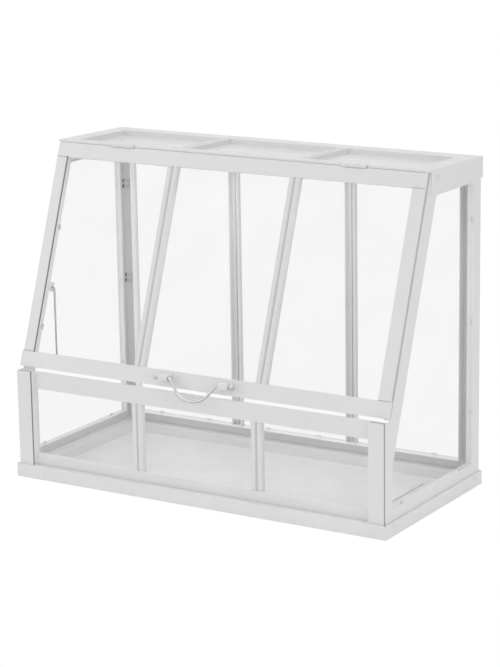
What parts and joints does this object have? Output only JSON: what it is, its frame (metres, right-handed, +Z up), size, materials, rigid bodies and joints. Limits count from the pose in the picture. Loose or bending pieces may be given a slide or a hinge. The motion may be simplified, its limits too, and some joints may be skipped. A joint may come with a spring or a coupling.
{
  "type": "cold frame",
  "caption": "Small white steel cold frame with clear panes, a flat roof, a sloping hinged lid with a bail handle and a wire stay, standing in a shallow folded tray.",
  "frame": {"origin": "middle of the tray's footprint, on the surface it stands on", "axes": "+X along the length to the right, +Y to the back, +Z up"},
  "size_m": [0.4516, 0.2166, 0.3539],
  "materials": {
    "white_paint": "satin powder coat",
    "clear_pane": "clear sheet",
    "hinge_steel": "satin powder coat",
    "screw_paint": "satin",
    "wire_paint": "satin powder coat"
  },
  "bodies": {
    "body": {"back_bar_left": "white_paint", "back_bar_right": "white_paint", "back_frame": "white_paint", "back_pane_left": "clear_pane", "back_pane_middle": "clear_pane", "back_pane_right": "clear_pane", "back_tabs": "white_paint", "base_screws": "screw_paint", "base_tray": "white_paint", "corner_plates": "white_paint", "corner_rivets": "screw_paint", "front_bar_left": "white_paint", "front_bar_right": "white_paint", "front_frame": "white_paint", "front_pane_left": "clear_pane", "front_pane_middle": "clear_pane", "front_pane_right": "clear_pane", "hinge_pin_left": "hinge_steel", "hinge_pin_right": "hinge_steel", "hinge_roof_leaf_left": "hinge_steel", "hinge_roof_leaf_right": "hinge_steel", "roof_bar_left": "white_paint", "roof_bar_right": "white_paint", "roof_frame": "white_paint", "roof_pane_left": "clear_pane", "roof_pane_middle": "clear_pane", "roof_pane_right": "clear_pane", "roof_screws": "screw_paint", "side_frame_left": "white_paint", "side_frame_right": "white_paint", "side_pane_left": "clear_pane", "side_pane_right": "clear_pane", "side_tabs_left": "white_paint", "side_tabs_right": "white_paint"},
    "lid": {"handle_lug_left": "white_paint", "handle_lug_right": "white_paint", "hinge_lid_leaf_left": "hinge_steel", "hinge_lid_leaf_right": "hinge_steel", "lid_bar_left": "white_paint", "lid_bar_right": "white_paint", "lid_frame": "white_paint", "lid_pane_left": "clear_pane", "lid_pane_middle": "clear_pane", "lid_pane_right": "clear_pane", "lid_tabs": "white_paint", "stay_lug": "white_paint"},
    "handle": {"bail": "wire_paint"},
    "stay_arm": {"stay": "wire_paint"}
  },
  "joints": [
    {"name": "lid_hinge", "type": "hinge", "parent": "body", "child": "lid", "pos_m": [0, -0.01291, 0.35187], "axis": [-1, 0, 0], "range_deg": [0, 165]},
    {"name": "handle_swing", "type": "hinge", "parent": "lid", "child": "handle", "pos_m": [0, -0.10123, 0.13169], "axis": [-1, 0, 0], "range_deg": [0, 150]},
    {"name": "stay_swing", "type": "hinge", "parent": "lid", "child": "stay_arm", "pos_m": [-0.207, -0.05532, 0.20044], "axis": [1, 0, 0], "range_deg": [-10, 105]}
  ]
}
